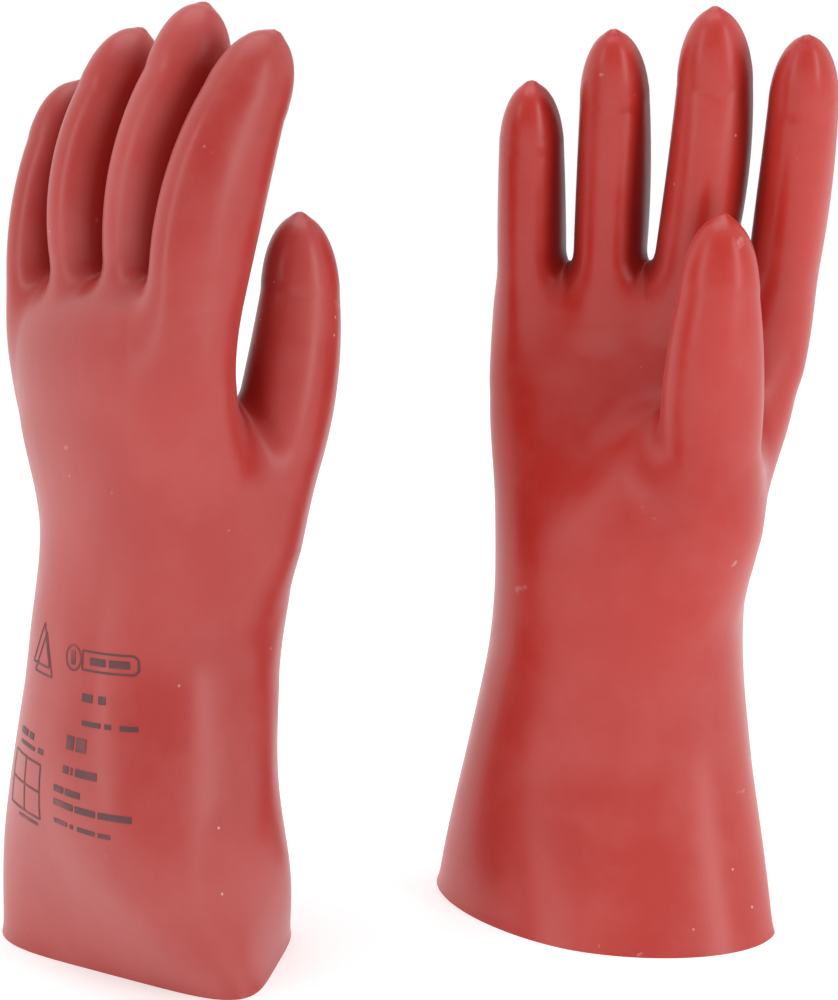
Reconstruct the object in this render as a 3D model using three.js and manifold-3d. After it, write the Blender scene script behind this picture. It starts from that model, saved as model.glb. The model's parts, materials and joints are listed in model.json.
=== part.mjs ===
// Pair of electrical insulating gloves: two seamless natural rubber gloves standing on their cuff rims.
// Each glove is divided where the rubber creases: cuff, palm, and two lengths for each finger and thumb.
// Millimetres, +Z up. The origin is below the middle of the pair, on the plane of the cuff rims.
import * as THREE from "three";
import { LoftGeometry } from "three/addons/geometries/LoftGeometry.js";
import { mergeVertices } from "three/addons/utils/BufferGeometryUtils.js";
import Module from "manifold-3d";

const wasm = await Module();
wasm.setup();

// ---------------------------------------------------------------- driving dimensions

// A glove's own frame is a right hand's: z up from the cuff rim, +x toward the thumb side,
// -y out of the palm. The left glove is the mirror image of it.
const WALL = 1.0;
const CUT = 0.4;
const HAND_SIDES = 24;
const DIGIT_SIDES = 14;
const STEPS_BETWEEN_RINGS = 2;
const RUBBER = 0xb2443e;

// Where each glove stands, how far it is turned, and how much it leans above the wrist (rise of y per z).
const RIGHT_GLOVE = { position: [98, 810.5], yaw: -16, lean: -0.098 };
const LEFT_GLOVE = { position: [-99.5, 748], yaw: 127.5, lean: 0.05 };
const LEAN_START = 105;

// Cross-sections of cuff and palm. width is half the size along x, front and back are the half
// depths toward -y and +y, turn rotates the ring, skew slides it along x in step with y.
const HAND_RINGS = [
  { z: 124, centre: [-14, -6.5], width: 52, front: 43, back: 43, power: 2.3 },
  { z: 166, centre: [-10.5, -7.5], width: 54, front: 37, back: 37, power: 2.2 },
  { z: 209, centre: [-7.5, 0.5], width: 61.5, front: 32, back: 32, power: 2.2 },
  { z: 242, centre: [-5, 5.5], width: 63, front: 26, back: 25, power: 2.2 },
  { z: 254, centre: [-4, 5], width: 60.5, front: 21.5, back: 20.5, power: 2.2 },
  { z: 262, centre: [-4, 4], width: 53, front: 12, back: 11, power: 2.2 },
];
const RIGHT_CUFF_RINGS = [
  { z: 0, centre: [-17, -22.5], width: 74, front: 49, back: 31, power: 1.9, turn: -13 },
  { z: 68, centre: [-19.5, -9.5], width: 58.5, front: 41, back: 37, power: 2.2, turn: 2.5 },
];
const LEFT_CUFF_RINGS = [
  { z: 0, centre: [-21, -3], width: 69, front: 38, back: 38, power: 3, turn: -21, skew: 0.45 },
  { z: 68, centre: [-12, 0], width: 60, front: 41, back: 41, power: 2.4, turn: 2 },
];

// Digits: a curve from root through bend to the tip, half widths and half depths at the root,
// the middle and the start of the domed end, and the heights of the two creases.
const DOME_LENGTH = 1.45;
const DOME_ANGLES = [0, 30, 55, 78];
const DIGITS = {
  index: {
    root: [42.5, 1, 228.5], bend: [52.5, 3, 292], tip: [57, -29, 348.5],
    width: [12, 13.5, 11.5], depth: [15.5, 22, 13], creases: [279, 314],
  },
  middle: {
    root: [8.5, -2, 244], bend: [22.5, -2.5, 306], tip: [23, -23, 359],
    width: [13.5, 14.5, 12], depth: [14.5, 23.5, 13.5], creases: [283, 321],
  },
  ring: {
    root: [-22, -1, 240], bend: [-19.5, 8, 299], tip: [-15.5, -18, 352],
    width: [13, 13.5, 11.5], depth: [14.5, 21.5, 12], creases: [282, 318],
  },
  little: {
    root: [-52.5, 4.5, 219], bend: [-53.5, 4.5, 278], tip: [-49, -10, 334],
    width: [12, 12.5, 11], depth: [15.5, 20.5, 13.5], creases: [276, 304],
  },
  thumb: {
    root: [22.5, -19.5, 150], bend: [28.5, -56, 218.5], tip: [31, -55, 285.5], turn: 45,
    width: [13.5, 18, 13.5], depth: [14.5, 22, 17], creases: [230, 256],
  },
};

// Furthest bend at each crease, in degrees. A positive bend carries the far side out of the palm.
const WRIST_CREASE = 133;
const WRIST_BEND = { forward: 15, backward: 25 };
const DIGIT_BENDS = [50, 60];
const THUMB_BENDS = [35, 35];
const ACROSS = new THREE.Vector3(1, 0, 0);
const OUT_OF_PALM = new THREE.Vector3(0, -1, 0);

const DEGREE = Math.PI / 180;
const CUTTER_SIZE = 600;

// ---------------------------------------------------------------- solids

function solidFrom(geometry) {
  const bare = new THREE.BufferGeometry();
  bare.setAttribute("position", geometry.getAttribute("position"));
  bare.setIndex(geometry.getIndex());
  const merged = mergeVertices(bare, 1e-4);
  return new wasm.Manifold(new wasm.Mesh({
    numProp: 3,
    vertProperties: new Float32Array(merged.attributes.position.array),
    triVerts: new Uint32Array(merged.index.array),
  }));
}

function loft(sections) {
  return solidFrom(new LoftGeometry(sections, { capStart: true, capEnd: true }));
}

function geometryFrom(solid) {
  const mesh = solid.getMesh();
  const geometry = new THREE.BufferGeometry();
  geometry.setAttribute("position", new THREE.BufferAttribute(new Float32Array(mesh.vertProperties), 3));
  geometry.setIndex(new THREE.BufferAttribute(new Uint32Array(mesh.triVerts), 1));
  return geometry;
}

// A block filling everything on the side of a plane that its normal points to.
function blockBeyond(point, normal) {
  const block = new THREE.BoxGeometry(CUTTER_SIZE, CUTTER_SIZE, CUTTER_SIZE);
  block.translate(0, 0, CUTTER_SIZE / 2);
  const facing = new THREE.Quaternion().setFromUnitVectors(new THREE.Vector3(0, 0, 1), normal);
  block.applyQuaternion(facing);
  block.translate(point.x, point.y, point.z);
  return solidFrom(block);
}

// ---------------------------------------------------------------- hand and cuff

function superellipse(angle, power) {
  const c = Math.cos(angle);
  const s = Math.sin(angle);
  return [
    Math.sign(c) * Math.abs(c) ** (2 / power),
    Math.sign(s) * Math.abs(s) ** (2 / power),
  ];
}

function leaned(point, lean) {
  const raised = Math.max(0, point.z - LEAN_START);
  return new THREE.Vector3(point.x, point.y + lean * raised, point.z);
}

function ringPoint(ring, angle, inset, lean) {
  const [u, v] = superellipse(angle, ring.power);
  const depth = v < 0 ? ring.front : ring.back;
  const across = u * (ring.width - inset) + (ring.skew ?? 0) * v * (depth - inset);
  const along = v * (depth - inset);
  const turn = (ring.turn ?? 0) * DEGREE;
  const point = new THREE.Vector3(
    ring.centre[0] + across * Math.cos(turn) - along * Math.sin(turn),
    ring.centre[1] + across * Math.sin(turn) + along * Math.cos(turn),
    ring.z,
  );
  return leaned(point, lean);
}

// Each corner of the section follows a smooth path up through the rings.
function handSections(rings, inset, lean) {
  const paths = [];
  for (let side = 0; side < HAND_SIDES; side++) {
    const angle = (2 * Math.PI * side) / HAND_SIDES;
    const points = rings.map((ring) => ringPoint(ring, angle, inset, lean));
    const path = new THREE.CatmullRomCurve3(points, false, "catmullrom", 0.5);
    paths.push(path.getPoints((rings.length - 1) * STEPS_BETWEEN_RINGS));
  }
  return paths[0].map((_, step) => paths.map((path) => path[step].clone()));
}

function handOuter(rings, lean) {
  return loft(handSections(rings, 0, lean));
}

// The hollow runs out through the rim and stops one wall short of the knuckles.
function handHollow(rings, lean) {
  const sections = handSections(rings, WALL, lean);
  const top = sections[sections.length - 1];
  top.forEach((point) => { point.z -= WALL; });
  const belowRim = sections[0].map((point) => new THREE.Vector3(point.x, point.y, -WALL));
  return loft([belowRim, ...sections]);
}

// ---------------------------------------------------------------- fingers and thumb

function digitCurve(digit, lean) {
  const [root, bend, tip] = [digit.root, digit.bend, digit.tip].map((point) => (
    leaned(new THREE.Vector3(...point), lean)
  ));
  return new THREE.QuadraticBezierCurve3(root, bend, tip);
}

// Half sizes rise from the root to the middle and fall to the dome, along a quadratic.
function between(values, fraction) {
  const [start, middle, end] = values;
  const slope = 4 * middle - 3 * start - end;
  const bow = 2 * start - 4 * middle + 2 * end;
  return start + slope * fraction + bow * fraction * fraction;
}

function digitSection(curve, along, turn, halfWidth, halfDepth) {
  const onCurve = Math.min(along, 1);
  const axis = curve.getTangent(onCurve);
  const centre = curve.getPoint(onCurve).addScaledVector(axis, (along - onCurve) * curve.getLength());
  const across = new THREE.Vector3(Math.cos(turn), -Math.sin(turn), 0);
  across.addScaledVector(axis, -across.dot(axis)).normalize();
  const through = new THREE.Vector3().crossVectors(axis, across);
  const section = [];
  for (let side = 0; side < DIGIT_SIDES; side++) {
    const angle = (2 * Math.PI * side) / DIGIT_SIDES;
    section.push(centre.clone()
      .addScaledVector(across, halfWidth * Math.cos(angle))
      .addScaledVector(through, halfDepth * Math.sin(angle)));
  }
  return section;
}

const STEM_FRACTIONS = [0, 0.25, 0.5, 0.75];

// growth is 0 for the outside, -WALL for the hollow and a little more than 0 for a clearing cutter.
function digitSolid(digit, lean, growth) {
  const curve = digitCurve(digit, lean);
  const turn = (digit.turn ?? 0) * DEGREE;
  const length = curve.getLength();
  const domeLength = DOME_LENGTH * digit.width[2];
  const domeStart = 1 - domeLength / length;
  const sections = STEM_FRACTIONS.map((fraction) => digitSection(
    curve, fraction * domeStart, turn,
    between(digit.width, fraction) + growth,
    between(digit.depth, fraction) + growth,
  ));
  for (const degrees of DOME_ANGLES) {
    const reach = Math.sin(degrees * DEGREE) * (domeLength + growth) / length;
    const shrink = Math.cos(degrees * DEGREE);
    sections.push(digitSection(
      curve, domeStart + reach, turn,
      (digit.width[2] + growth) * shrink,
      (digit.depth[2] + growth) * shrink,
    ));
  }
  return loft(sections);
}

// ---------------------------------------------------------------- creases

// A crease is a hinge line across the glove with a notch on the side it closes toward.
// The faces below and above it are each two planes through the hinge line.
function crease(origin, direction, hinge, bend, backBend = 0) {
  const normal = direction.clone().addScaledVector(hinge, -direction.dot(hinge)).normalize();
  const faces = (side) => [bend, -backBend].map((degrees) => {
    const tilted = normal.clone().applyAxisAngle(hinge, -side * degrees * DEGREE / 2);
    return { point: origin.clone().addScaledVector(normal, side * CUT / 2), normal: tilted };
  });
  return { origin, hinge, lower: faces(-1), upper: faces(1) };
}

function keepBelow(solid, line) {
  return line.lower.reduce((kept, face) => kept.subtract(blockBeyond(face.point, face.normal)), solid);
}

function keepAbove(solid, line) {
  return line.upper.reduce((kept, face) => (
    kept.subtract(blockBeyond(face.point, face.normal.clone().negate()))
  ), solid);
}

function heightOn(curve, height) {
  let low = 0;
  let high = 1;
  for (let pass = 0; pass < 40; pass++) {
    const middle = (low + high) / 2;
    if (curve.getPoint(middle).z < height) {
      low = middle;
    } else {
      high = middle;
    }
  }
  return low;
}

function digitCreases(name, digit, lean) {
  const curve = digitCurve(digit, lean);
  const isThumb = name === "thumb";
  const bends = isThumb ? THUMB_BENDS : DIGIT_BENDS;
  const hinges = isThumb ? [ACROSS, OUT_OF_PALM] : [ACROSS, ACROSS];
  return digit.creases.map((height, place) => {
    const along = heightOn(curve, height);
    return crease(curve.getPoint(along), curve.getTangent(along), hinges[place], bends[place]);
  });
}

function wristCrease(rings) {
  const ring = rings.find((each) => each.z === HAND_RINGS[0].z);
  const origin = new THREE.Vector3(ring.centre[0], ring.centre[1], WRIST_CREASE);
  const upward = new THREE.Vector3(0, 0, 1);
  return crease(origin, upward, ACROSS, WRIST_BEND.forward, WRIST_BEND.backward);
}

// ---------------------------------------------------------------- scene graph

function rubberMesh(name, solid, frame) {
  const geometry = geometryFrom(solid);
  geometry.applyMatrix4(frame.clone().invert());
  geometry.computeVertexNormals();
  const material = new THREE.MeshStandardMaterial({ color: RUBBER, roughness: 0.42, metalness: 0 });
  const mesh = new THREE.Mesh(geometry, material);
  mesh.name = name;
  return mesh;
}

// A group standing on a hinge line, its own x axis along it. frame is its place in the glove.
function hingeGroup(name, line, parentFrame) {
  const group = new THREE.Group();
  group.name = name;
  const turned = new THREE.Quaternion().setFromUnitVectors(ACROSS, line.hinge);
  const frame = new THREE.Matrix4().compose(line.origin, turned, new THREE.Vector3(1, 1, 1));
  group.applyMatrix4(parentFrame.clone().invert().multiply(frame));
  return { group, frame };
}

function makeGlove(side, cuffRings, place) {
  const rings = [...cuffRings, ...HAND_RINGS];
  const lean = place.lean;
  let outer = handOuter(rings, lean);
  let hollow = handHollow(rings, lean);
  for (const digit of Object.values(DIGITS)) {
    outer = outer.add(digitSolid(digit, lean, 0));
    hollow = hollow.add(digitSolid(digit, lean, -WALL));
  }
  const shell = outer.subtract(hollow);
  const wrist = wristCrease(rings);
  const glove = new THREE.Group();
  const gloveFrame = new THREE.Matrix4();
  glove.add(rubberMesh(`${side}_cuff`, keepBelow(shell, wrist), gloveFrame));

  let palm = keepAbove(shell, wrist);
  const hand = hingeGroup(`${side}_wrist_hinge`, wrist, gloveFrame);
  for (const [name, digit] of Object.entries(DIGITS)) {
    const [first, second] = digitCreases(name, digit, lean);
    const clearing = digitSolid(digit, lean, CUT);
    for (const face of first.lower) {
      palm = palm.subtract(clearing.intersect(blockBeyond(face.point, face.normal)));
    }
    const stem = digitSolid(digit, lean, 0).subtract(digitSolid(digit, lean, -WALL));
    const beyondFirst = keepAbove(stem, first);
    const base = hingeGroup(`${side}_${name}_base_hinge`, first, hand.frame);
    const tip = hingeGroup(`${side}_${name}_tip_hinge`, second, base.frame);
    base.group.add(rubberMesh(`${side}_${name}_base`, keepBelow(beyondFirst, second), base.frame));
    tip.group.add(rubberMesh(`${side}_${name}_tip`, keepAbove(beyondFirst, second), tip.frame));
    base.group.add(tip.group);
    hand.group.add(base.group);
  }
  hand.group.add(rubberMesh(`${side}_palm`, palm, hand.frame));
  glove.add(hand.group);
  glove.position.set(place.position[0], place.position[1], 0);
  glove.rotation.z = place.yaw * DEGREE;
  return glove;
}

const rightGlove = makeGlove("right", RIGHT_CUFF_RINGS, RIGHT_GLOVE);
const leftGlove = makeGlove("left", LEFT_CUFF_RINGS, LEFT_GLOVE);
leftGlove.scale.x = -1;

const pair = new THREE.Group();
pair.add(rightGlove, leftGlove);
pair.updateMatrixWorld(true);
const bounds = new THREE.Box3().setFromObject(pair, true);
const middle = bounds.getCenter(new THREE.Vector3());
pair.position.set(-middle.x, -middle.y, -bounds.min.z);

export default pair;
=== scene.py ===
import json
import math

import bpy
import numpy as np
from mathutils import Matrix, Vector


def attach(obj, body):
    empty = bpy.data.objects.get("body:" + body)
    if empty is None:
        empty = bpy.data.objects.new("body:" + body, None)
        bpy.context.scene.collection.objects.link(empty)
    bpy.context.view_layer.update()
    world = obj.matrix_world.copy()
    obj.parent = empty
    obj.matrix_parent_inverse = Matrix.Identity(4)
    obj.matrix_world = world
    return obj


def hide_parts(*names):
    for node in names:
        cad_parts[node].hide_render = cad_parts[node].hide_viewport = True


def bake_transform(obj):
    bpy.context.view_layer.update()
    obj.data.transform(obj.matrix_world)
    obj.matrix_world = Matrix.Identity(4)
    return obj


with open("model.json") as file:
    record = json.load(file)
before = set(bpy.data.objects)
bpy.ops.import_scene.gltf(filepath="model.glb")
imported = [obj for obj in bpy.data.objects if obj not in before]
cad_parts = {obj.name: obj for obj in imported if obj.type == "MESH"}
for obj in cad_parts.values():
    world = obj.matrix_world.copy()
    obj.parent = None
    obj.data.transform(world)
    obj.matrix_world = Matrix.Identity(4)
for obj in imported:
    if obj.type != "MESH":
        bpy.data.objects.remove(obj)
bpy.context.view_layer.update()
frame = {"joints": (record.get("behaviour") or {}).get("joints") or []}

# ---------------------------------------------------------------- dimensions
# A glove's own frame, in millimetres: z up from the cuff rim, +x toward the thumb side of a
# right hand, -y out of the palm. The left glove is its mirror image.

GLOVE_LENGTH = 360
WALL = 1.0
GRID = 2.0
# the box that the surface is looked for in
GRID_LOW = (-104.0, -96.0, -4.0)
GRID_HIGH = (84.0, 66.0, 364.0)
# above this height a glove leans out of the palm or toward its back
LEAN_START = 105.0
WRIST_LOCAL = (-14.0, -6.5, 133.0)
WRIST_HALF_ZONE = 17.0
# how far a piece reaches past the zone in which it bends
SEAM_MARGIN = 3.0
DIGIT_SEAM_MARGIN = 2

# Rings: z, centre x, centre y, half width, half depth to the palm side, half depth to the back,
# power of the rounded section, turn in degrees, skew
HAND_RINGS = [
    (124, -14.6, -6.5, 50.8, 45, 43, 2.3, 0, 0),
    (166, -10.8, -7.5, 53.6, 39.5, 37, 2.2, 0, 0),
    (209, -7.3, 0.5, 61, 30.2, 32, 2.2, 0, 0),
    (242, -4.5, 5.5, 61.8, 23.6, 25, 2.2, 0, 0),
    (262, -3.5, 4.5, 59, 19, 18, 2.2, 0, 0),
    (300, -3.5, 4.5, 59, 19, 18, 2.2, 0, 0),
]
GLOVES = {
    "right": {
        "yaw": -16.0,
        "mirror": 1,
        "lean": -0.098,
        "cuff": [
            (0, -18, -19, 74, 51.5, 31, 1.8, -11, -0.15),
            (68, -17.4, -9.5, 58, 41, 37, 2.2, 2.5, 0),
        ],
    },
    "left": {
        "yaw": 127.5,
        "mirror": -1,
        "lean": 0.05,
        "cuff": [
            (0, -20.9, -2.7, 63.2, 44.5, 38.7, 4.8, -21.8, 0.39),
            (68, -12, 0, 61, 43, 46, 2.5, 0, 0.05),
        ],
    },
}
# Digits: the curve's three points, half widths and half depths at root, middle and dome, how
# far the root runs on into the hand, twist of the section in degrees, the two crease heights
# and the half lengths of the two bending zones
DIGITS = {
    "index": {
        "curve": ((42.8, 2, 228.5), (54.0, 6, 292), (58.8, -30.3, 348.5)),
        "width": (12, 13.8, 12.8), "depth": (11.8, 18.8, 15),
        "root": 12, "twist": 0, "creases": (279, 314), "zones": (14.5, 15),
    },
    "middle": {
        "curve": ((9.4, -2, 244), (24.4, -2.5, 306), (24.5, -23.6, 359.5)),
        "width": (13.5, 15.4, 14), "depth": (14.5, 22.6, 15.2),
        "root": 12, "twist": 0, "creases": (283, 321), "zones": (14.5, 16),
    },
    "ring": {
        "curve": ((-20.9, -1, 240), (-17.2, 8, 299), (-13.8, -19.3, 352.2)),
        "width": (13.2, 14.2, 13.2), "depth": (14.5, 21, 15.5),
        "root": 12, "twist": 0, "creases": (282, 318), "zones": (14.5, 15),
    },
    "little": {
        "curve": ((-51.8, 4.5, 219), (-52, 6.6, 278), (-47.3, -11.3, 334)),
        "width": (12.4, 13.2, 12.4), "depth": (15.5, 20.3, 16),
        "root": 12, "twist": 0, "creases": (276, 304), "zones": (13, 13),
    },
    "thumb": {
        "curve": ((22.2, -22, 152), (29.9, -56.2, 218.5), (32.6, -53.9, 285.5)),
        "width": (13.8, 17.6, 14.6), "depth": (14.5, 19.6, 14.6),
        "root": 36, "twist": 45, "creases": (230, 256), "zones": (10, 9),
    },
}
DIGIT_POWER = 2.12
# a digit's closed end, as a multiple of its half width there
DOME_LENGTH = 2.05
# the small nub that the dip leaves on a fingertip
NUB_RADIUS = 2.0
NUB_DEPTH = 1.2
NUB_BLEND = 2.5
# the hand ends between the fingers, a little higher toward the thumb side
CROTCH_TOP = 262.0
CROTCH_RISE = 0.03
CROTCH_BLEND = 16
PALM_HOLLOW = 6.0
HOLLOW_CENTRE = (-12, 208)
HOLLOW_SPREAD = (28, 34)
RIM_LIP = 0.8
RIM_LIP_HEIGHT = 2.5
# the mound below the thumb
MOUND_CENTRE = np.array((9, -29, 170))
MOUND_RADII = np.array((24, 15.5, 36))
MOUND_BLEND = 28
# how softly the palm side of the hand turns into the back
SIDE_BLEND = 6
FINGER_BLEND = 5
KNUCKLE_BLEND = 9
# the thumb runs into the hand by these amounts at these heights
WEB_HEIGHTS = (140, 160, 190, 214)
WEB_BLENDS = (9, 15, 15, 7)
CAVITY_REACH = 13.0
# smoothing passes of the mesh, and all passes that set it on the surface
SMOOTH_PASSES = 6
SURFACE_PASSES = 9


# ---------------------------------------------------------------- shape of a glove


def smooth_table(z, knots, values):
    """A smooth curve through a table, held level past its ends."""
    knots = np.asarray(knots, float)
    values = np.asarray(values, float)
    slopes = np.gradient(values, knots)
    z = np.clip(z, knots[0], knots[-1])
    i = np.clip(np.searchsorted(knots, z) - 1, 0, len(knots) - 2)
    step = knots[i + 1] - knots[i]
    t = (z - knots[i]) / step
    return (
        (2 * t**3 - 3 * t**2 + 1) * values[i]
        + (t**3 - 2 * t**2 + t) * step * slopes[i]
        + (3 * t**2 - 2 * t**3) * values[i + 1]
        + (t**3 - t**2) * step * slopes[i + 1]
    )


def blend_min(a, b, width):
    """The smaller of two distances, rounded off where they are within width of each other."""
    h = np.maximum(width - np.abs(a - b), 0) / width
    return np.minimum(a, b) - h * h * width / 4


def section_distance(u, v, a, b, power):
    """Distance to a rounded section, from its implicit form divided by its slope."""
    qu = np.abs(u) / a
    qv = np.abs(v) / b
    f = np.maximum(qu**power + qv**power, 1e-9) ** (1 / power)
    slope = f ** (1 - power) * np.hypot(qu ** (power - 1) / a, qv ** (power - 1) / b)
    return (f - 1) / np.maximum(slope, 1e-4)


def hand_distance(p, glove):
    """Distance to the cuff, wrist and palm, without the digits."""
    rings = np.array(glove["cuff"] + HAND_RINGS, float)
    z = p[:, 2]
    cx, cy, width, front, back, power, turn, skew = (
        smooth_table(z, rings[:, 0], rings[:, k]) for k in range(1, 9)
    )
    turn = np.radians(turn)
    x = p[:, 0] - cx
    y = p[:, 1] - cy
    v = -x * np.sin(turn) + y * np.cos(turn)
    u = x * np.cos(turn) + y * np.sin(turn) - skew * v
    share = 0.5 + 0.5 * np.tanh(v / SIDE_BLEND)
    depth = front + (back - front) * share
    d = section_distance(u, v, width, depth, power)
    off_x = (p[:, 0] - HOLLOW_CENTRE[0]) / HOLLOW_SPREAD[0]
    off_z = (z - HOLLOW_CENTRE[1]) / HOLLOW_SPREAD[1]
    hollow = np.exp(-(off_x**2) - off_z**2)
    d = d + PALM_HOLLOW * hollow * (1 - share)
    d = d - RIM_LIP * np.exp(-np.maximum(z, 0) / RIM_LIP_HEIGHT)
    top = z - CROTCH_TOP - CROTCH_RISE * p[:, 0]
    palm = -blend_min(-d, -top, CROTCH_BLEND)
    off = (p - MOUND_CENTRE) / MOUND_RADII
    size = np.linalg.norm(off, axis=1)
    slope = np.linalg.norm(off / MOUND_RADII, axis=1)
    mound = size * (size - 1) / np.maximum(slope, 1e-4)
    return blend_min(palm, mound, MOUND_BLEND)


def curve_at(points, t):
    """Places and directions on a digit's curve."""
    a, b, c = (np.array(q, float) for q in points)
    t = np.asarray(t, float)[..., None]
    place = (1 - t) ** 2 * a + 2 * t * (1 - t) * b + t**2 * c
    along = 2 * (1 - t) * (b - a) + 2 * t * (c - b)
    return place, along / np.linalg.norm(along, axis=-1, keepdims=True)


def three_values(values, fraction):
    """A quadratic through values at 0, 1/2 and 1."""
    start, middle, end = values
    slope = 4 * middle - 3 * start - end
    bow = 2 * start - 4 * middle + 2 * end
    return start + slope * fraction + bow * fraction * fraction


def digit_distance(p, digit, reach=46.0, far=50.0):
    """Distance to one digit; points further from its curve than reach are given far."""
    a, b, c = (np.array(q, float) for q in digit["curve"])
    samples = np.linspace(0, 1, 60)
    places, _ = curve_at(digit["curve"], samples)
    length = np.linalg.norm(np.diff(places, axis=0), axis=1).sum()
    dome_start = 1 - DOME_LENGTH * digit["width"][2] / length
    low = places.min(0) - reach
    high = places.max(0) + reach
    near = np.all((p > low) & (p < high), axis=1)
    d = np.full(len(p), far)
    q = p[near]
    if not len(q):
        return d
    # the nearest place on the curve: the best of some samples, then Newton's steps
    gaps = ((q[:, None, :] - places[None, ::3, :]) ** 2).sum(2)
    t = samples[::3][gaps.argmin(1)]
    for _ in range(4):
        place = (1 - t)[:, None] ** 2 * a + (2 * t * (1 - t))[:, None] * b + t[:, None] ** 2 * c
        first = 2 * (1 - t)[:, None] * (b - a) + 2 * t[:, None] * (c - b)
        second = 2 * (c - 2 * b + a)
        off = place - q
        slope = (off * first).sum(1)
        curve = (first * first).sum(1) + (off * second).sum(1)
        t = np.clip(t - slope / np.maximum(curve, 1e-3), 0, dome_start)
    place, along = curve_at(digit["curve"], t)
    tip_way = c - curve_at(digit["curve"], dome_start)[0]
    tip_length = np.linalg.norm(tip_way)
    ended = t >= dome_start - 1e-9
    along[ended] = tip_way / tip_length
    twist = math.radians(digit["twist"])
    across = np.array([math.cos(twist), -math.sin(twist), 0.0])
    across = across - (along @ across)[:, None] * along
    across /= np.linalg.norm(across, axis=1, keepdims=True)
    through = np.cross(along, across)
    off = q - place
    u = (off * across).sum(1)
    v = (off * through).sum(1)
    w = (off * along).sum(1)
    fraction = t / dome_start
    half_width = three_values(digit["width"], fraction)
    half_depth = three_values(digit["depth"], fraction)
    ringed = section_distance(u, v, half_width, half_depth, DIGIT_POWER)
    # past either end the section closes as a dome
    end_length = np.where(w > 0, tip_length, digit["root"])
    past = np.abs(w) / end_length * ((w > 0) & ended | (w < 0) & (t <= 1e-9))
    size = np.sqrt((u / half_width) ** 2 + (v / half_depth) ** 2 + past**2)
    slope = np.sqrt(
        (u / half_width**2) ** 2 + (v / half_depth**2) ** 2 + (past / end_length) ** 2
    )
    domed = size * (size - 1) / np.maximum(slope, 1e-4)
    mix = np.clip(past * 4, 0, 1)
    whole = ringed * (1 - mix) + domed * mix
    nub_centre = c - tip_way / tip_length * NUB_DEPTH
    nub = np.linalg.norm(q - nub_centre, axis=1) - NUB_RADIUS
    d[near] = blend_min(whole, nub, NUB_BLEND)
    return d


def upright(p, glove):
    """Takes the lean above the wrist back out."""
    q = p.copy()
    q[:, 1] -= glove["lean"] * np.maximum(0, q[:, 2] - LEAN_START)
    return q


def parts_distance(p, glove):
    """Distances to the hand and to each digit."""
    q = upright(p, glove)
    return hand_distance(q, glove), [digit_distance(q, digit) for digit in DIGITS.values()]


def glove_distance(p, glove):
    """Distance to the whole glove, below 0 inside it."""
    hand, (fingers, *others, thumb) = parts_distance(p, glove)
    for d in others:
        fingers = blend_min(fingers, d, FINGER_BLEND)
    web = np.interp(p[:, 2], WEB_HEIGHTS, WEB_BLENDS)
    return blend_min(blend_min(hand, fingers, KNUCKLE_BLEND), thumb, web)


def slope_of(p, glove, step=0.25):
    """The direction in which the distance grows."""
    g = np.empty_like(p)
    for k in range(3):
        move = np.zeros(3)
        move[k] = step
        g[:, k] = glove_distance(p + move, glove) - glove_distance(p - move, glove)
    return g / (2 * step)


# ---------------------------------------------------------------- surface mesh


def along_axis(axis, other_slices):
    """Index tuples for the low and the high end of every grid edge along an axis."""
    ends = []
    for run in (slice(0, -1), slice(1, None)):
        pick = list(other_slices)
        pick.insert(axis, run)
        ends.append(tuple(pick))
    return ends


def cell_points(value):
    """One point in each grid cell that the surface crosses, and the cells' numbers."""
    shape = tuple(np.array(value.shape) - 1)
    total = np.zeros(shape + (3,))
    hits = np.zeros(shape)
    sides = (slice(0, -1), slice(1, None))
    for axis in range(3):
        others = [k for k in range(3) if k != axis]
        for i, j in ((0, 0), (0, 1), (1, 0), (1, 1)):
            low, high = along_axis(axis, (sides[i], sides[j]))
            a, b = value[low], value[high]
            crosses = (a < 0) != (b < 0)
            offset = np.zeros(shape + (3,))
            offset[..., others[0]] = i
            offset[..., others[1]] = j
            offset[..., axis] = np.where(crosses, a / np.where(crosses, a - b, 1), 0)
            total += offset * crosses[..., None]
            hits += crosses
    used = hits > 0
    number = np.full(shape, -1)
    number[used] = np.arange(used.sum())
    return np.argwhere(used) + total[used] / hits[used][:, None], number


def crossing_quads(inside, number):
    """A quad round every grid edge that the surface crosses, facing outward."""
    quads = []
    for axis in range(3):
        o1, o2 = (axis + 1) % 3, (axis + 2) % 3
        low, high = along_axis(axis, (slice(None), slice(None)))
        change = inside[low] != inside[high]
        where = np.argwhere(change)
        keep = (where[:, o1] > 0) & (where[:, o2] > 0)
        keep &= (where[:, o1] < inside.shape[o1] - 1) & (where[:, o2] < inside.shape[o2] - 1)
        where = where[keep]
        leaving = inside[low][tuple(where.T)]
        ring = []
        for i, j in ((-1, -1), (0, -1), (0, 0), (-1, 0)):
            cell = where.copy()
            cell[:, o1] += i
            cell[:, o2] += j
            ring.append(number[tuple(cell.T)])
        ring = np.stack(ring, 1)
        ring[~leaving] = ring[~leaving][:, ::-1]
        quads.append(ring)
    quads = np.concatenate(quads)
    return quads[(quads >= 0).all(1)]


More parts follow.
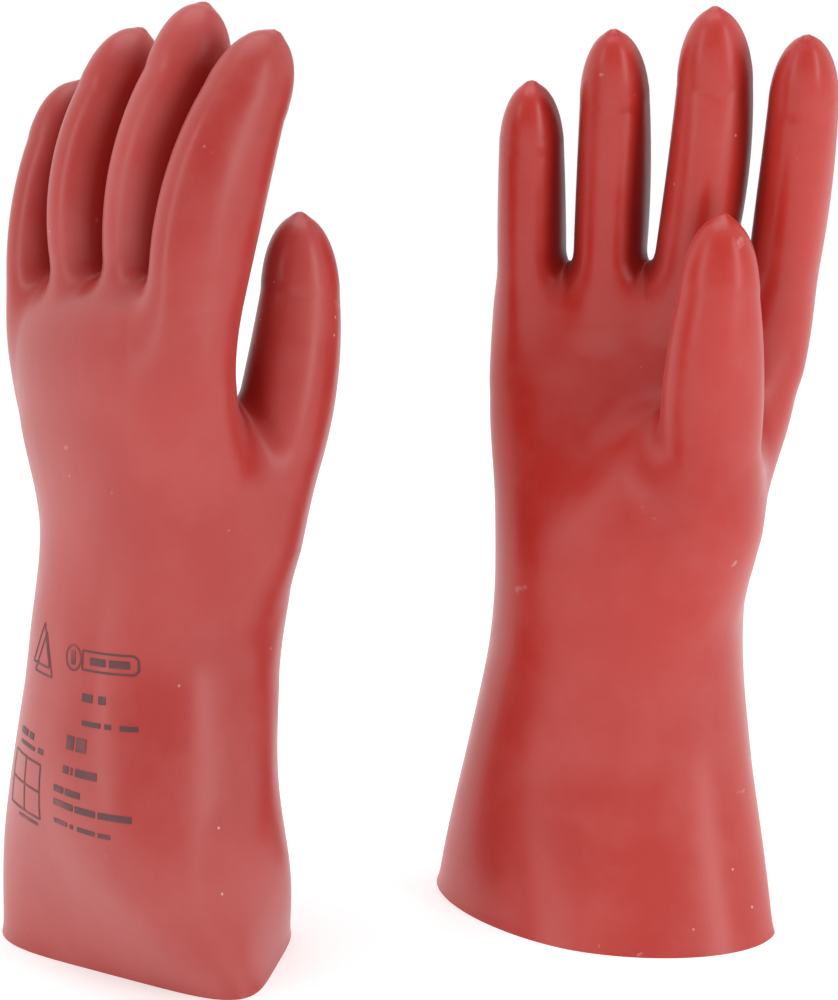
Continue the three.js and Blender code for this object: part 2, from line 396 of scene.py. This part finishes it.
def settle(points, edges, rim_edges, glove):
    """Evens the mesh out and pulls its vertices onto the surface, the rim's onto the floor."""
    on_rim = np.zeros(len(points), bool)
    on_rim[rim_edges] = True
    # a rim vertex is evened out along the rim only
    pulls = np.concatenate([edges[(~on_rim[edges]).any(1)], rim_edges])
    ways = np.bincount(pulls.ravel(), minlength=len(points))[:, None]
    for turn in range(SURFACE_PASSES):
        if turn < SMOOTH_PASSES:
            sums = np.zeros_like(points)
            np.add.at(sums, pulls[:, 0], points[pulls[:, 1]])
            np.add.at(sums, pulls[:, 1], points[pulls[:, 0]])
            points = points + 0.5 * (sums / ways - points)
        points[on_rim, 2] = 0
        for _ in range(2):
            g = slope_of(points, glove)
            g[on_rim, 2] = 0
            d = glove_distance(points, glove)
            points = points - (d / np.maximum((g * g).sum(1), 0.05))[:, None] * g
    return points


def glove_surface(glove):
    """A quad mesh of the glove's outer surface: its points, its quads and its rim's edges."""
    low, high = np.array(GRID_LOW), np.array(GRID_HIGH)
    counts = ((high - low) / GRID).astype(int) + 1
    axes = [low[k] + GRID * np.arange(counts[k]) for k in range(3)]
    grid = np.stack(np.meshgrid(*axes, indexing="ij"), -1).reshape(-1, 3)
    value = np.concatenate([glove_distance(part, glove) for part in np.array_split(grid, 12)])
    value = value.reshape(counts)
    cells, number = cell_points(value)
    points = low + GRID * cells
    quads = crossing_quads(value < 0, number)
    # quads below the floor go, which leaves the rim open
    quads = quads[points[quads][:, :, 2].mean(1) > 0]
    keep, quads = np.unique(quads, return_inverse=True)
    points, quads = points[keep], quads.reshape(-1, 4)
    edges = np.concatenate([quads[:, [k, (k + 1) % 4]] for k in range(4)])
    edges, count = np.unique(np.sort(edges, axis=1), axis=0, return_counts=True)
    rim_edges = edges[count == 1]
    return settle(points, edges, rim_edges, glove), quads, rim_edges


def placement(side, glove):
    """The matrix from the glove's own frame, in metres, to the object's frame."""
    hinge = next(j for j in frame["joints"] if j["name"] == side + "_wrist_bend")
    local = Vector(WRIST_LOCAL)
    local.y += glove["lean"] * (local.z - LEAN_START)
    turned = Matrix.Rotation(math.radians(glove["yaw"]), 4, "Z") @ Matrix.Diagonal(
        (glove["mirror"], 1, 1, 1)
    )
    start = Vector(hinge["pos_m"]) - turned @ (local / 1000)
    return Matrix.Translation(start) @ turned


def to_world(points, matrix):
    m = np.array(matrix)
    return points / 1000 @ m[:3, :3].T + m[:3, 3]


def crease_line(digit, height, glove):
    """A point on the digit's curve at a height, and the direction along the digit there."""
    places, _ = curve_at(digit["curve"], np.linspace(0, 1, 2001))
    places[:, 1] += glove["lean"] * np.maximum(0, places[:, 2] - LEAN_START)
    k = int(np.argmin(np.abs(places[:, 2] - height)))
    along = places[k + 3] - places[k - 3]
    return places[k], along / np.linalg.norm(along)


def zone_frame(digit, place, glove, thumb_tip):
    """The middle of a bending zone, and the direction across its hinge."""
    origin, along = crease_line(digit, digit["creases"][place], glove)
    hinge = np.array([0.0, -1.0, 0.0]) if thumb_tip else np.array([1.0, 0.0, 0.0])
    normal = along - (along @ hinge) * hinge
    return origin, normal / np.linalg.norm(normal)


def region_of(centres, glove):
    """Names the piece that each face centre belongs to."""
    names = np.full(len(centres), "palm", dtype=object)
    z = centres[:, 2]
    low = WRIST_LOCAL[2] - WRIST_HALF_ZONE - SEAM_MARGIN
    high = WRIST_LOCAL[2] + WRIST_HALF_ZONE + SEAM_MARGIN
    names[z < high] = "wrist"
    names[z < low] = "cuff"
    _, digits = parts_distance(centres, glove)
    nearest = np.argmin(np.stack(digits), axis=0)
    for number, (name, digit) in enumerate(DIGITS.items()):
        first, normal = zone_frame(digit, 0, glove, False)
        second, normal2 = zone_frame(digit, 1, glove, name == "thumb")
        past = (centres - first) @ normal
        past2 = (centres - second) @ normal2
        own = (nearest == number) & (past > -digit["zones"][0] - DIGIT_SEAM_MARGIN)
        names[own] = name + "_base"
        gap_low = (first + normal * digit["zones"][0])[2]
        gap_high = (second - normal2 * digit["zones"][1])[2]
        # the seam lies midway between the two zones
        middle = -digit["zones"][1] - max(0.0, (gap_high - gap_low) / 2)
        names[own & (past2 > middle)] = name + "_tip"
    return names


def hollowness(points, normals, glove):
    """1 in a narrow valley between parts of the glove, 0 on an open or bulging face."""
    away = glove_distance(points + normals * CAVITY_REACH, glove)
    return np.clip(1 - away / CAVITY_REACH, 0, 1)


def make_piece(name, points, normals, hollow, quads, rim_edges, glove, matrix, material):
    """A double-walled piece: outer skin, inner skin and, at the cuff, the rim between them."""
    used = np.unique(quads)
    renumber = np.full(len(points), -1)
    renumber[used] = np.arange(len(used))
    outer = points[used]
    inner = outer - normals[used] * WALL
    quads = renumber[quads]
    count = len(used)
    faces = [quads, quads[:, ::-1] + count]
    edge = rim_edges[(renumber[rim_edges] >= 0).all(1)]
    if len(edge):
        a, b = renumber[edge[:, 0]], renumber[edge[:, 1]]
        faces.append(np.stack([b, a, a + count, b + count], 1))
        inner[a, 2] = 0
        inner[b, 2] = 0
    faces = np.concatenate(faces)
    if glove["mirror"] < 0:
        faces = faces[:, ::-1]
    mesh = bpy.data.meshes.new(name)
    mesh.vertices.add(2 * count)
    world = to_world(np.concatenate([outer, inner]), matrix)
    mesh.vertices.foreach_set("co", world.astype(np.float32).ravel())
    mesh.loops.add(4 * len(faces))
    mesh.loops.foreach_set("vertex_index", faces.astype(np.int32).ravel())
    mesh.polygons.add(len(faces))
    mesh.polygons.foreach_set("loop_start", np.arange(0, 4 * len(faces), 4, dtype=np.int32))
    mesh.polygons.foreach_set("use_smooth", np.ones(len(faces), bool))
    mesh.update(calc_edges=True)
    mesh.validate()
    turned = np.array(matrix)[:3, :3]
    out = normals[used] @ turned.T
    mesh.normals_split_custom_set_from_vertices(np.concatenate([out, -out]).tolist())
    rise = mesh.attributes.new("rise", "FLOAT", "POINT")
    rise.data.foreach_set("value", np.tile(outer[:, 2] / GLOVE_LENGTH, 2).astype(np.float32))
    cavity = mesh.attributes.new("cavity", "FLOAT", "POINT")
    cavity.data.foreach_set("value", np.tile(hollow[used], 2).astype(np.float32))
    mesh.materials.append(material)
    piece = bpy.data.objects.new(name, mesh)
    bpy.context.scene.collection.objects.link(piece)
    return piece


# ---------------------------------------------------------------- materials


def math_node(tree, operation, a, b):
    made = tree.nodes.new("ShaderNodeMath")
    made.operation = operation
    for k, value in enumerate((a, b)):
        if isinstance(value, (int, float)):
            made.inputs[k].default_value = value
        else:
            tree.links.new(value, made.inputs[k])
    return made.outputs[0]


def mixed(tree, factor, a, b):
    made = tree.nodes.new("ShaderNodeMix")
    made.data_type = "RGBA"
    for socket, value in ((made.inputs[0], factor), (made.inputs[6], a), (made.inputs[7], b)):
        if isinstance(value, (int, float, tuple)):
            socket.default_value = value
        else:
            tree.links.new(value, socket)
    return made.outputs[2]


def ranged(tree, value, low, high, to_low=0.0, to_high=1.0):
    made = tree.nodes.new("ShaderNodeMapRange")
    tree.links.new(value, made.inputs["Value"])
    made.inputs["From Min"].default_value = low
    made.inputs["From Max"].default_value = high
    made.inputs["To Min"].default_value = to_low
    made.inputs["To Max"].default_value = to_high
    return made.outputs[0]


def noise(tree, vector, scale, detail=3.0, roughness=0.5):
    made = tree.nodes.new("ShaderNodeTexNoise")
    tree.links.new(vector, made.inputs["Vector"])
    made.inputs["Scale"].default_value = scale
    made.inputs["Detail"].default_value = detail
    made.inputs["Roughness"].default_value = roughness
    return made.outputs["Fac"]


def attribute(tree, name):
    made = tree.nodes.new("ShaderNodeAttribute")
    made.attribute_name = name
    return made.outputs["Fac"]


def stretched(tree, vector, scale, turn=(0, 0, 0)):
    made = tree.nodes.new("ShaderNodeMapping")
    tree.links.new(vector, made.inputs["Vector"])
    made.inputs["Rotation"].default_value = turn
    made.inputs["Scale"].default_value = scale
    return made.outputs[0]


# painted shade: the dark red that is mixed in between the fingers
PAINTED_SHADE_RED = (0.27, 0.010, 0.006, 1)
SCUFF_PINK = (0.86, 0.66, 0.62, 1)
DUST_PINK = (0.88, 0.72, 0.68, 1)
# heights of the skin's relief, in metres
RUN_HEIGHT = 0.00016
PEEL_HEIGHT = 0.000022
GRAIN_HEIGHT = 0.000006


def rubber_material(name, base, deep, bloom_and_painted_haze):
    """Dipped latex: clouded red, pale blooming in patches, painted haze that pales the cuff
    toward its rim, painted shade between the fingers, dust specks, scuffs and a fine skin.
    """
    material = bpy.data.materials.new(name)
    material.use_nodes = True
    tree = material.node_tree
    shader = tree.nodes["Principled BSDF"]
    place = tree.nodes.new("ShaderNodeTexCoord").outputs["Object"]
    # clouds of two sizes; painted haze makes the cuff paler than the hand, most at its rim
    broad = noise(tree, place, 9.0, 3.0, 0.55)
    medium = noise(tree, place, 38.0, 4.0, 0.6)
    colour = mixed(tree, ranged(tree, broad, 0.35, 0.68), deep, base)
    pale_share = math_node(tree, "MULTIPLY", ranged(tree, medium, 0.42, 0.75), 0.22)
    # painted haze: the pale colour is mixed in more the nearer the rim
    rise = attribute(tree, "rise")
    pale_share = math_node(tree, "ADD", pale_share, ranged(tree, rise, 0.1, 0.42, 0.2, 0.0))
    colour = mixed(tree, pale_share, colour, bloom_and_painted_haze)
    # painted shade: between the fingers the colour is mixed toward a dark deep red, and the
    # specular level is lowered there
    cavity = attribute(tree, "cavity")
    valley = ranged(tree, cavity, 0.12, 0.8)
    colour = mixed(tree, math_node(tree, "MULTIPLY", valley, 0.8), colour, PAINTED_SHADE_RED)
    tree.links.new(ranged(tree, cavity, 0.15, 0.8, 0.5, 0.2), shader.inputs["Specular IOR Level"])
    # long fine scuffs: noise stretched along two directions, only its thin ridges
    marks = []
    for turn, stretch in (((0.3, 0.9, 0.2), (14, 130, 130)), ((1.1, 0.2, 0.7), (120, 16, 120))):
        streak = noise(tree, stretched(tree, place, stretch, turn), 1.0, 2.0, 0.6)
        marks.append(ranged(tree, streak, 0.735, 0.775))
    scuffs = math_node(tree, "MAXIMUM", marks[0], marks[1])
    patches = ranged(tree, noise(tree, place, 16.0, 2.0), 0.52, 0.66)
    scuffs = math_node(tree, "MULTIPLY", scuffs, patches)
    colour = mixed(tree, math_node(tree, "MULTIPLY", scuffs, 0.34), colour, SCUFF_PINK)
    specks = tree.nodes.new("ShaderNodeTexVoronoi")
    tree.links.new(place, specks.inputs["Vector"])
    specks.inputs["Scale"].default_value = 110.0
    dust = ranged(tree, specks.outputs["Distance"], 0.035, 0.075, 1.0, 0.0)
    rare = ranged(tree, noise(tree, place, 23.0, 1.0), 0.6, 0.66)
    dust = math_node(tree, "MULTIPLY", dust, rare)
    colour = mixed(tree, math_node(tree, "MULTIPLY", dust, 0.55), colour, DUST_PINK)
    tree.links.new(colour, shader.inputs["Base Color"])
    rough = ranged(tree, medium, 0.3, 0.75, 0.29, 0.42)
    rough = math_node(tree, "ADD", rough, math_node(tree, "MULTIPLY", scuffs, 0.15))
    tree.links.new(rough, shader.inputs["Roughness"])
    shader.inputs["IOR"].default_value = 1.5
    shader.inputs["Sheen Weight"].default_value = 0.09
    shader.inputs["Sheen Roughness"].default_value = 0.4
    shader.inputs["Sheen Tint"].default_value = (1.0, 0.86, 0.86, 1)
    # dipped skin: slow runs, an orange-peel ripple and a very fine grain
    runs = noise(tree, stretched(tree, place, (60, 60, 9)), 1.0, 2.0)
    peel = noise(tree, place, 420.0, 2.0)
    grain = noise(tree, place, 2600.0, 2.0)
    height = math_node(tree, "MULTIPLY", runs, RUN_HEIGHT)
    for relief, size in ((peel, PEEL_HEIGHT), (grain, GRAIN_HEIGHT)):
        height = math_node(tree, "ADD", height, math_node(tree, "MULTIPLY", relief, size))
    bump = tree.nodes.new("ShaderNodeBump")
    tree.links.new(height, bump.inputs["Height"])
    bump.inputs["Strength"].default_value = 1.0
    bump.inputs["Distance"].default_value = 1.0
    tree.links.new(bump.outputs[0], shader.inputs["Normal"])
    return material


RUBBER = {
    "right": rubber_material(
        "hand_rubber", (0.50, 0.028, 0.019, 1), (0.43, 0.016, 0.010, 1), (0.57, 0.13, 0.115, 1)
    ),
    # the left glove is the same rubber as the right; this copy is darker and pinker, painted
    # shade and painted haze for how the light falls on that glove
    "left": rubber_material(
        "left_rubber_shaded_copy", (0.45, 0.040, 0.034, 1), (0.38, 0.026, 0.021, 1), (0.50, 0.13, 0.12, 1)
    ),
}

# ---------------------------------------------------------------- pieces


def blend_points(digit, place, glove, matrix, thumb_tip):
    """The two ends of a digit's bending zone."""
    origin, normal = zone_frame(digit, place, glove, thumb_tip)
    reach = normal * digit["zones"][place]
    ends = to_world(np.array([origin - reach, origin + reach]), matrix)
    return tuple(ends[0]), tuple(ends[1])


def make_glove(side):
    """Builds one glove's pieces and hands the cuff and palm pieces to their bodies; returns its
    matrix.
    """
    glove = GLOVES[side]
    matrix = placement(side, glove)
    points, quads, rim_edges = glove_surface(glove)
    normals = slope_of(points, glove)
    normals /= np.linalg.norm(normals, axis=1, keepdims=True)
    hollow = hollowness(points, normals, glove)
    names = region_of(points[quads].mean(1), glove)
    pieces = {}
    for name in sorted(set(names)):
        piece = make_piece(
            f"{side}_{name}_skin", points, normals, hollow, quads[names == name], rim_edges,
            glove, matrix, RUBBER[side],
        )
        pieces[name] = piece
    palm_body = f"{side}_palm"
    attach(pieces["cuff"], "cuffs")
    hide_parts(f"{side}_cuff")
    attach(pieces["palm"], palm_body)
    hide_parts(palm_body)
    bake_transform(pieces["wrist"])
    for name, digit in DIGITS.items():
        base, tip = f"{side}_{name}_base", f"{side}_{name}_tip"
        start, end = blend_points(digit, 0, glove, matrix, False)
        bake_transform(pieces[name + "_base"])
        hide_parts(base)
        start, end = blend_points(digit, 1, glove, matrix, name == "thumb")
        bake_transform(pieces[name + "_tip"])
        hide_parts(tip)
    return matrix


right_matrix = make_glove("right")
left_matrix = make_glove("left")

# ---------------------------------------------------------------- printed marks

# Blank marks on the back of the left cuff. A place is (s, z): s runs round the cuff from the
# print's left edge, PRINT_RADIUS of it to a radian, and z is the height. Bars are
# (s from, s to, z from, z to).
PRINT_START = 75.0
PRINT_RADIUS = 44.0
PRINT_AXIS = (-14.0, -1.0)
INK_PROUD = 0.16
STROKE = 0.75
CELL = 1.5
LOW_BARS = [
    (11, 16, 109, 112), (18.5, 21.5, 109, 112),
    (12, 20, 100.6, 102.4), (21.5, 24, 100.6, 102.4), (27, 33, 100.6, 102.4),
    (5.5, 9.3, 91, 96), (10.4, 15, 91, 96),
    (5, 8, 82.2, 85), (9, 10, 82.2, 85), (11.2, 20, 82.2, 85),
    (0.5, 6, 74.4, 76.8), (7, 14, 74.4, 76.8),
    (0.5, 11, 69.2, 71.6), (12, 20, 69.2, 71.6), (21, 31, 69.2, 71.6),
    (0.5, 8, 62.3, 64), (9.5, 11, 62.3, 64), (13, 20, 62.3, 64), (21, 25, 62.3, 64),
    (-31, -24, 88.5, 91), (-22, -18, 88.5, 91), (-30, -16, 84.8, 86.2), (-13, -9, 85, 87),
    (-27, -12, 56.8, 58),
]
LOW_LINES = [
    [(-35, 60), (-10, 60), (-10, 81), (-35, 81), (-35, 60)],
    [(-35, 70.5), (-10, 70.5)],
    [(-22.5, 60), (-22.5, 81)],
]
HIGH_BARS = [(14, 21, 122.6, 125.4), (22.5, 30.5, 122.6, 125.4), (3.2, 5.8, 121.4, 126.6)]
HIGH_LINES = [
    [(10, 120.5), (32, 120.5), (33.5, 122), (33.5, 126), (32, 127.5), (10, 127.5), (10, 120.5)],
    [(4.5 + 4.6 * math.cos(a), 124 + 4.6 * math.sin(a)) for a in np.linspace(0, 2 * np.pi, 25)],
    [(-29, 117), (-13, 117), (-21, 133), (-29, 117)],
    [(-26, 114), (-10, 114), (-18, 130), (-26, 114)],
]


def on_cuff(places, glove):
    """Points on the glove's skin at (s, z), and the outward normals there."""
    places = np.asarray(places, float)
    angle = math.radians(PRINT_START) - places[:, 0] / PRINT_RADIUS
    way = np.stack([np.cos(angle), np.sin(angle), np.zeros(len(angle))], 1)
    axis = np.empty((len(places), 3))
    axis[:, :2] = PRINT_AXIS
    axis[:, 2] = places[:, 1]
    # the skin's distance from the axis, by halving
    near, far = np.full(len(angle), 5.0), np.full(len(angle), 110.0)
    for _ in range(22):
        middle = (near + far) / 2
        inside = glove_distance(axis + way * middle[:, None], glove) < 0
        near = np.where(inside, middle, near)
        far = np.where(inside, far, middle)
    points = axis + way * near[:, None]
    normals = slope_of(points, glove)
    normals /= np.linalg.norm(normals, axis=1, keepdims=True)
    return points + normals * INK_PROUD, normals


def print_cells(bars, lines):
    """Small four-sided cells, in (s, z), that cover the bars and follow the lines."""
    cells = []
    for s0, s1, z0, z1 in bars:
        across, up = max(1, round((s1 - s0) / CELL)), max(1, round((z1 - z0) / CELL))
        for i in range(across):
            for j in range(up):
                a, b = s0 + (s1 - s0) * i / across, s0 + (s1 - s0) * (i + 1) / across
                c, d = z0 + (z1 - z0) * j / up, z0 + (z1 - z0) * (j + 1) / up
                cells.append([(a, c), (b, c), (b, d), (a, d)])
    for line in lines:
        for (s0, z0), (s1, z1) in zip(line, line[1:]):
            length = math.hypot(s1 - s0, z1 - z0)
            ds, dz = (s1 - s0) / length, (z1 - z0) / length
            out_s, out_z = dz * STROKE / 2, -ds * STROKE / 2
            steps = max(1, round(length / CELL))
            for k in range(steps):
                a, b = length * k / steps, length * (k + 1) / steps
                low = (s0 + ds * a, z0 + dz * a)
                high = (s0 + ds * b, z0 + dz * b)
                cells.append([
                    (low[0] + out_s, low[1] + out_z), (high[0] + out_s, high[1] + out_z),
                    (high[0] - out_s, high[1] - out_z), (low[0] - out_s, low[1] - out_z),
                ])
    return np.array(cells)


def ink_material():
    """Grey-brown ink, rubbed thin in places."""
    material = bpy.data.materials.new("ink")
    material.use_nodes = True
    tree = material.node_tree
    shader = tree.nodes["Principled BSDF"]
    place = tree.nodes.new("ShaderNodeTexCoord").outputs["Object"]
    worn = ranged(tree, noise(tree, place, 90.0, 2.0, 0.5), 0.5, 0.8)
    colour = mixed(tree, worn, (0.10, 0.030, 0.034, 1), (0.26, 0.04, 0.038, 1))
    tree.links.new(colour, shader.inputs["Base Color"])
    tree.links.new(ranged(tree, worn, 0, 1, 0.5, 0.4), shader.inputs["Roughness"])
    return material


INK = ink_material()


def make_print(name, bars, lines, glove, matrix):
    """Thin ink that lies just off the skin."""
    cells = print_cells(bars, lines)
    points, normals = on_cuff(cells.reshape(-1, 2), glove)
    world = to_world(points, matrix)
    out = normals @ np.array(matrix)[:3, :3].T
    faces = np.arange(len(points)).reshape(-1, 4)
    a, b, c = (world[faces[:, k]] for k in range(3))
    wrong = (np.cross(b - a, c - a) * out[faces[:, 0]]).sum(1) < 0
    faces[wrong] = faces[wrong][:, ::-1]
    mesh = bpy.data.meshes.new(name)
    mesh.from_pydata(world.tolist(), [], faces.tolist())
    mesh.materials.append(INK)
    piece = bpy.data.objects.new(name, mesh)
    bpy.context.scene.collection.objects.link(piece)
    return piece


low_print = make_print("left_cuff_print", LOW_BARS, LOW_LINES, GLOVES["left"], left_matrix)
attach(low_print, "cuffs")
high_print = make_print("left_wrist_print", HIGH_BARS, HIGH_LINES, GLOVES["left"], left_matrix)
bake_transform(high_print)

# ---------------------------------------------------------------- camera, floor and light

# The camera stands in front of the pair; its place is set from the right glove's.
RIGHT_FROM_CAMERA = Vector((0.098, 0.8105, 0))
CAMERA_HEIGHT = 0.3121
CAMERA_PITCH = 10.1
CAMERA_LENS = 72.6
FLOOR_HALF = 6
camera_foot = right_matrix.translation - RIGHT_FROM_CAMERA
camera_data = bpy.data.cameras.new("camera")
camera_data.lens = CAMERA_LENS
camera_data.sensor_width = 36
camera_data.clip_start = 0.01
camera = bpy.data.objects.new("camera", camera_data)
camera.location = (camera_foot.x, camera_foot.y, CAMERA_HEIGHT)
camera.rotation_euler = (math.radians(90 - CAMERA_PITCH), 0, 0)
bpy.context.scene.collection.objects.link(camera)
bpy.context.scene.camera = camera

floor_mesh = bpy.data.meshes.new("floor")
corners = [(FLOOR_HALF * x, FLOOR_HALF * y, 0) for x, y in ((-1, -1), (1, -1), (1, 1), (-1, 1))]
floor_mesh.from_pydata(corners, [], [(0, 1, 2, 3)])
floor = bpy.data.objects.new("floor", floor_mesh)
floor_material = bpy.data.materials.new("floor")
floor_material.use_nodes = True
floor_shader = floor_material.node_tree.nodes["Principled BSDF"]
floor_shader.inputs["Base Color"].default_value = (0.8, 0.8, 0.8, 1)
floor_shader.inputs["Roughness"].default_value = 0.9
floor_shader.inputs["Specular IOR Level"].default_value = 0.0
floor_shader.inputs["Emission Color"].default_value = (1, 1, 1, 1)
floor_shader.inputs["Emission Strength"].default_value = 0.4
floor_mesh.materials.append(floor_material)
bpy.context.scene.collection.objects.link(floor)

# a white tent, darker on the camera's side
TENT_FRONT = 0.36
# and a grey panel behind the pair, to the right of the view
PANEL_PLACE = 0.46
PANEL_HALF_WIDTH = 0.13
PANEL_EDGE = 0.06
PANEL_GREY = (0.40, 0.43, 0.50, 1)
world = bpy.data.worlds.new("world")
bpy.context.scene.world = world
world.use_nodes = True
tree = world.node_tree
background = tree.nodes["Background"]
around = tree.nodes.new("ShaderNodeTexCoord")
split = tree.nodes.new("ShaderNodeSeparateXYZ")
tree.links.new(around.outputs["Generated"], split.inputs[0])
tent = ranged(tree, split.outputs["Y"], -1.0, 0.05, TENT_FRONT, 1.0)
aside = math_node(tree, "SUBTRACT", split.outputs["X"], PANEL_PLACE)
aside = math_node(tree, "ABSOLUTE", aside, 0)
panel = ranged(tree, aside, PANEL_HALF_WIDTH, PANEL_HALF_WIDTH + PANEL_EDGE, 1, 0)
panel = math_node(tree, "MULTIPLY", panel, ranged(tree, split.outputs["Y"], 0.0, 0.1))
shade = mixed(tree, panel, (1, 1, 1, 1), PANEL_GREY)
tree.links.new(shade, background.inputs["Color"])
tree.links.new(tent, background.inputs["Strength"])


def area_light(name, place, target, size, power):
    data = bpy.data.lights.new(name, "AREA")
    data.shape = "RECTANGLE"
    data.size, data.size_y = size
    data.energy = power
    light = bpy.data.objects.new(name, data)
    light.location = place
    direction = Vector(target) - Vector(place)
    light.rotation_euler = direction.to_track_quat("-Z", "Y").to_euler()
    bpy.context.scene.collection.objects.link(light)


area_light("top", (0, -0.1, 1.6), (0, 0, 0.1), (1.2, 1.0), 6)
area_light("left", (-1.2, -0.7, 0.5), (0, 0, 0.2), (0.24, 1.4), 3.5)
area_light("right", (1.1, -0.9, 0.5), (0, 0, 0.2), (0.22, 1.4), 6)

view = bpy.context.scene.view_settings
view.view_transform = "Standard"
view.look = "None"
